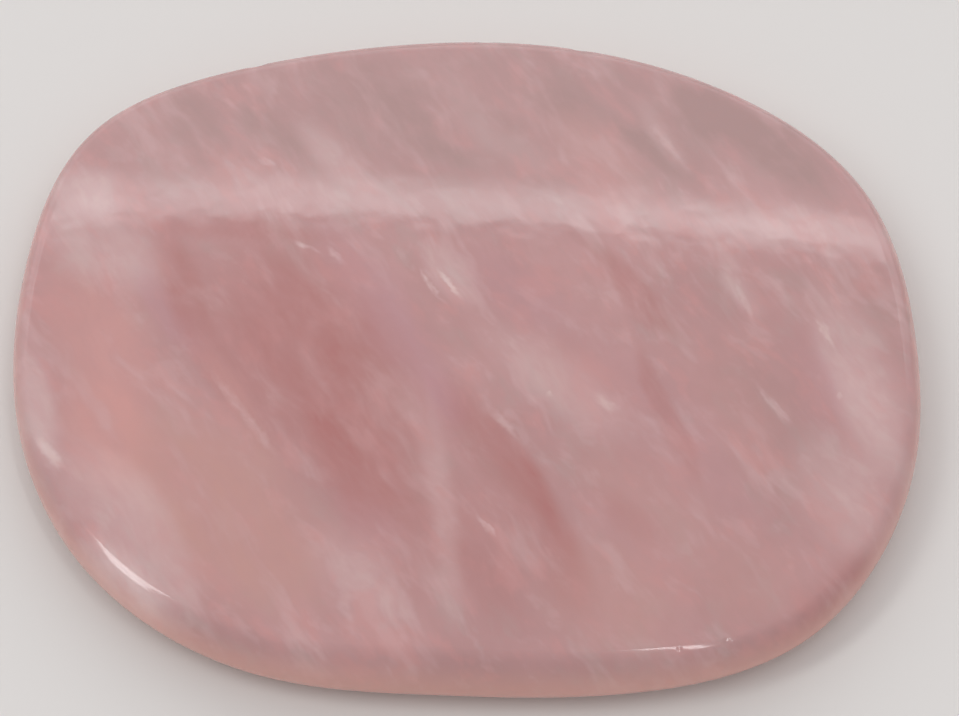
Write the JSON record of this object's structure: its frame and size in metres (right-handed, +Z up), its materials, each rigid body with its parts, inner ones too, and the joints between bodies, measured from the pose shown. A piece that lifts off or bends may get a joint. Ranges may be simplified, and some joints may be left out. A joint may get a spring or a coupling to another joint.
{
  "type": "rose quartz cabochon",
  "caption": "Flat freeform cabochon of polished rose quartz, with a low domed top, a rounded edge and a flat back that it rests on.",
  "frame": {"origin": "middle of the flat back: the centre of the bounding box's underside", "axes": "+X along the longest side, from the squarer end to the rounder end; +Y across the stone, away from the fuller edge that faces the camera in the picture; +Z up through the thickness, out of the domed top"},
  "size_m": [0.0602, 0.0494, 0.0065],
  "materials": {
    "polished_rose_quartz": "polished"
  },
  "bodies": {
    "root": {"stone": "polished_rose_quartz"}
  },
  "joints": []
}
